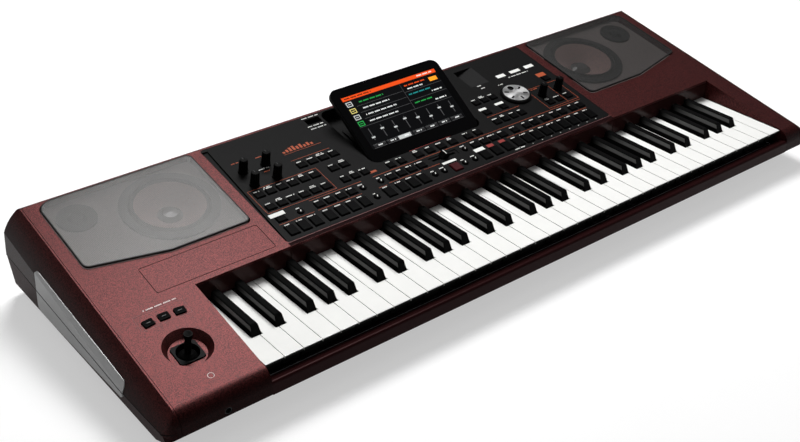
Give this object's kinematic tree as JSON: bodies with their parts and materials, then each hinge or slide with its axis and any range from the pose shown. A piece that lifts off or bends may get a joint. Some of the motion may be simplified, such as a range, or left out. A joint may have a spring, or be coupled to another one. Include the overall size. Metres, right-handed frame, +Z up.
{
  "type": "arranger keyboard",
  "caption": "Electronic arranger keyboard with hinged full-size keys, tilting display, speaker grilles, joystick, knobs, data dial and grouped buttons on a sloped panel.",
  "frame": {"origin": "on the surface that the feet stand on, under the middle of the case", "axes": "+X along the keys to the player's right, +Y from the player to the back, +Z up"},
  "size_m": [1.024, 0.378, 0.1635],
  "materials": {
    "shell": "metallic burgundy lacquer",
    "silver": "satin silver",
    "rubber": "matt black",
    "steel": "plain sheet",
    "felt": "felt",
    "panel": "dark grey, fine texture",
    "mesh": "dark grey mesh",
    "basket": "black",
    "cone": "paper grey",
    "socket": "black",
    "board": "green board",
    "key_white": "gloss white",
    "key_black": "satin black",
    "button": "grey",
    "knob": "black, fluted",
    "screen": "gloss black glass"
  },
  "bodies": {
    "case": {"top_cover": "shell", "bottom_case": "shell", "left_cheek": "shell", "right_cheek": "shell", "side_trims": "silver", "rubber_feet": "rubber", "fallboard": "shell", "keyslip": "shell", "key_frame": "steel", "key_felts": "felt", "key_rod": "steel", "control_panel": "panel", "right_grille": "mesh", "left_grille": "mesh", "woofer_baskets": "basket", "woofer_cones": "cone", "tweeters": "basket", "joystick_base": "panel", "phones_socket": "socket", "rear_panel": "panel", "rear_sockets": "socket", "mains_inlet": "socket", "circuit_boards": "board"},
    "key_c": {"key_c": "key_white"},
    "key_d": {"key_d": "key_white"},
    "key_e": {"key_e": "key_white"},
    "key_f": {"key_f": "key_white"},
    "key_g": {"key_g": "key_white"},
    "key_a": {"key_a": "key_white"},
    "key_b": {"key_b": "key_white"},
    "key_top_c": {"key_top_c": "key_white"},
    "key_c_sharp": {"key_c_sharp": "key_black"},
    "key_d_sharp": {"key_d_sharp": "key_black"},
    "key_f_sharp": {"key_f_sharp": "key_black"},
    "key_g_sharp": {"key_g_sharp": "key_black"},
    "key_a_sharp": {"key_a_sharp": "key_black"},
    "buttons_style": {"buttons_style": "button"},
    "buttons_accompaniment": {"buttons_accompaniment": "button"},
    "buttons_mode": {"buttons_mode": "button"},
    "buttons_player": {"buttons_player": "button"},
    "buttons_sets": {"buttons_sets": "button"},
    "buttons_sound": {"buttons_sound": "button"},
    "buttons_round": {"buttons_round": "button"},
    "switch_1": {"switch_1": "button"},
    "switch_2": {"switch_2": "button"},
    "switch_3": {"switch_3": "button"},
    "knob_1": {"knob_1": "knob"},
    "knob_2": {"knob_2": "knob"},
    "knob_3": {"knob_3": "knob"},
    "knob_4": {"knob_4": "knob"},
    "knob_5": {"knob_5": "knob"},
    "knob_6": {"knob_6": "knob"},
    "data_dial": {"data_dial": "silver"},
    "balance_slider": {"balance_slider": "knob"},
    "display": {"display_shell": "panel", "display_face": "screen"},
    "joystick_gimbal": {"joystick_gimbal": "steel"},
    "joystick_stick": {"joystick_stick": "knob"},
    "power_rocker": {"power_rocker": "socket"}
  },
  "joints": [
    {"name": "display_tilt", "type": "hinge", "parent": "case", "child": "display", "pos_m": [0, 0.04424, 0.09588], "axis": [1, 0, 0], "range_deg": [-22.4, 17.6]},
    {"name": "joystick_push", "type": "hinge", "parent": "case", "child": "joystick_gimbal", "pos_m": [-0.4387, -0.11108, 0.05351], "axis": [1, 0, 0], "range_deg": [-20, 20], "stiffness_Nm_per_rad": 0.05},
    {"name": "joystick_swing", "type": "hinge", "parent": "joystick_gimbal", "child": "joystick_stick", "pos_m": [-0.4387, -0.11108, 0.05351], "axis": [0, 0.9811, 0.1935], "range_deg": [-20, 20], "stiffness_Nm_per_rad": 0.05},
    {"name": "balance_slide", "type": "slide", "parent": "case", "child": "balance_slider", "axis": [1, 0, 0], "range_m": [-0.015, 0.015]},
    {"name": "power_rock", "type": "hinge", "parent": "case", "child": "power_rocker", "pos_m": [0.1832, 0.17555, 0.03523], "axis": [1, 0, 0], "range_deg": [-14, 0]},
    {"name": "data_dial_turn", "type": "hinge", "parent": "case", "child": "data_dial", "pos_m": [0.17808, 0.06327, 0.10829], "axis": [0, -0.1935, 0.9811], "continuous": true},
    {"name": "knob_1_turn", "type": "hinge", "parent": "case", "child": "knob_1", "pos_m": [-0.23957, 0.09644, 0.11484], "axis": [0, -0.1935, 0.9811], "range_deg": [-150, 150]},
    {"name": "knob_2_turn", "type": "hinge", "parent": "case", "child": "knob_2", "pos_m": [-0.20755, 0.09644, 0.11484], "axis": [0, -0.1935, 0.9811], "range_deg": [-150, 150]},
    {"name": "knob_3_turn", "type": "hinge", "parent": "case", "child": "knob_3", "pos_m": [-0.24057, 0.06958, 0.10954], "axis": [0, -0.1935, 0.9811], "range_deg": [-150, 150]},
    {"name": "knob_4_turn", "type": "hinge", "parent": "case", "child": "knob_4", "pos_m": [-0.20856, 0.06958, 0.10954], "axis": [0, -0.1935, 0.9811], "range_deg": [-150, 150]},
    {"name": "knob_5_turn", "type": "hinge", "parent": "case", "child": "knob_5", "pos_m": [0.21157, 0.04559, 0.1048], "axis": [0, -0.1935, 0.9811], "range_deg": [-150, 150]},
    {"name": "knob_6_turn", "type": "hinge", "parent": "case", "child": "knob_6", "pos_m": [0.24311, 0.04695, 0.10507], "axis": [0, -0.1935, 0.9811], "range_deg": [-150, 150]},
    {"name": "key_c_hinge", "type": "hinge", "parent": "case", "child": "key_c", "pos_m": [0, 0.01081, 0.0527], "axis": [1, 0, 0], "range_deg": [0, 3.1], "stiffness_Nm_per_rad": 2.2, "springref_deg": -6.88},
    {"name": "key_d_hinge", "type": "hinge", "parent": "case", "child": "key_d", "pos_m": [0, 0.01081, 0.0527], "axis": [1, 0, 0], "range_deg": [0, 3.1], "stiffness_Nm_per_rad": 2.2, "springref_deg": -6.88},
    {"name": "key_e_hinge", "type": "hinge", "parent": "case", "child": "key_e", "pos_m": [0, 0.01081, 0.0527], "axis": [1, 0, 0], "range_deg": [0, 3.1], "stiffness_Nm_per_rad": 2.2, "springref_deg": -6.88},
    {"name": "key_f_hinge", "type": "hinge", "parent": "case", "child": "key_f", "pos_m": [0, 0.01081, 0.0527], "axis": [1, 0, 0], "range_deg": [0, 3.1], "stiffness_Nm_per_rad": 2.2, "springref_deg": -6.88},
    {"name": "key_g_hinge", "type": "hinge", "parent": "case", "child": "key_g", "pos_m": [0, 0.01081, 0.0527], "axis": [1, 0, 0], "range_deg": [0, 3.1], "stiffness_Nm_per_rad": 2.2, "springref_deg": -6.88},
    {"name": "key_a_hinge", "type": "hinge", "parent": "case", "child": "key_a", "pos_m": [0, 0.01081, 0.0527], "axis": [1, 0, 0], "range_deg": [0, 3.1], "stiffness_Nm_per_rad": 2.2, "springref_deg": -6.88},
    {"name": "key_b_hinge", "type": "hinge", "parent": "case", "child": "key_b", "pos_m": [0, 0.01081, 0.0527], "axis": [1, 0, 0], "range_deg": [0, 3.1], "stiffness_Nm_per_rad": 2.2, "springref_deg": -6.88},
    {"name": "key_top_c_hinge", "type": "hinge", "parent": "case", "child": "key_top_c", "pos_m": [0, 0.01081, 0.0527], "axis": [1, 0, 0], "range_deg": [0, 3.1], "stiffness_Nm_per_rad": 0.5, "springref_deg": -6.88},
    {"name": "key_c_sharp_hinge", "type": "hinge", "parent": "case", "child": "key_c_sharp", "pos_m": [0, 0.01081, 0.0527], "axis": [1, 0, 0], "range_deg": [0, 3.3], "stiffness_Nm_per_rad": 2.2, "springref_deg": -6.88},
    {"name": "key_d_sharp_hinge", "type": "hinge", "parent": "case", "child": "key_d_sharp", "pos_m": [0, 0.01081, 0.0527], "axis": [1, 0, 0], "range_deg": [0, 3.3], "stiffness_Nm_per_rad": 2.2, "springref_deg": -6.88},
    {"name": "key_f_sharp_hinge", "type": "hinge", "parent": "case", "child": "key_f_sharp", "pos_m": [0, 0.01081, 0.0527], "axis": [1, 0, 0], "range_deg": [0, 3.3], "stiffness_Nm_per_rad": 2.2, "springref_deg": -6.88},
    {"name": "key_g_sharp_hinge", "type": "hinge", "parent": "case", "child": "key_g_sharp", "pos_m": [0, 0.01081, 0.0527], "axis": [1, 0, 0], "range_deg": [0, 3.3], "stiffness_Nm_per_rad": 2.2, "springref_deg": -6.88},
    {"name": "key_a_sharp_hinge", "type": "hinge", "parent": "case", "child": "key_a_sharp", "pos_m": [0, 0.01081, 0.0527], "axis": [1, 0, 0], "range_deg": [0, 3.3], "stiffness_Nm_per_rad": 2.2, "springref_deg": -6.88},
    {"name": "buttons_style_press", "type": "slide", "parent": "case", "child": "buttons_style", "axis": [0, 0.1935, -0.9811], "range_m": [0, 0.0012], "stiffness_N_per_m": 400, "springref_m": -0.002},
    {"name": "buttons_accompaniment_press", "type": "slide", "parent": "case", "child": "buttons_accompaniment", "axis": [0, 0.1935, -0.9811], "range_m": [0, 0.0012], "stiffness_N_per_m": 400, "springref_m": -0.002},
    {"name": "buttons_mode_press", "type": "slide", "parent": "case", "child": "buttons_mode", "axis": [0, 0.1935, -0.9811], "range_m": [0, 0.0012], "stiffness_N_per_m": 400, "springref_m": -0.002},
    {"name": "buttons_player_press", "type": "slide", "parent": "case", "child": "buttons_player", "axis": [0, 0.1935, -0.9811], "range_m": [0, 0.0012], "stiffness_N_per_m": 400, "springref_m": -0.002},
    {"name": "buttons_sets_press", "type": "slide", "parent": "case", "child": "buttons_sets", "axis": [0, 0.1935, -0.9811], "range_m": [0, 0.0012], "stiffness_N_per_m": 400, "springref_m": -0.002},
    {"name": "buttons_sound_press", "type": "slide", "parent": "case", "child": "buttons_sound", "axis": [0, 0.1935, -0.9811], "range_m": [0, 0.0012], "stiffness_N_per_m": 400, "springref_m": -0.002},
    {"name": "buttons_round_press", "type": "slide", "parent": "case", "child": "buttons_round", "axis": [0, 0.1935, -0.9811], "range_m": [0, 0.0012], "stiffness_N_per_m": 400, "springref_m": -0.002},
    {"name": "switch_1_press", "type": "slide", "parent": "case", "child": "switch_1", "axis": [0, 0.1935, -0.9811], "range_m": [0, 0.0012], "stiffness_N_per_m": 400, "springref_m": -0.002},
    {"name": "switch_2_press", "type": "slide", "parent": "case", "child": "switch_2", "axis": [0, 0.1935, -0.9811], "range_m": [0, 0.0012], "stiffness_N_per_m": 400, "springref_m": -0.002},
    {"name": "switch_3_press", "type": "slide", "parent": "case", "child": "switch_3", "axis": [0, 0.1935, -0.9811], "range_m": [0, 0.0012], "stiffness_N_per_m": 400, "springref_m": -0.002}
  ]
}
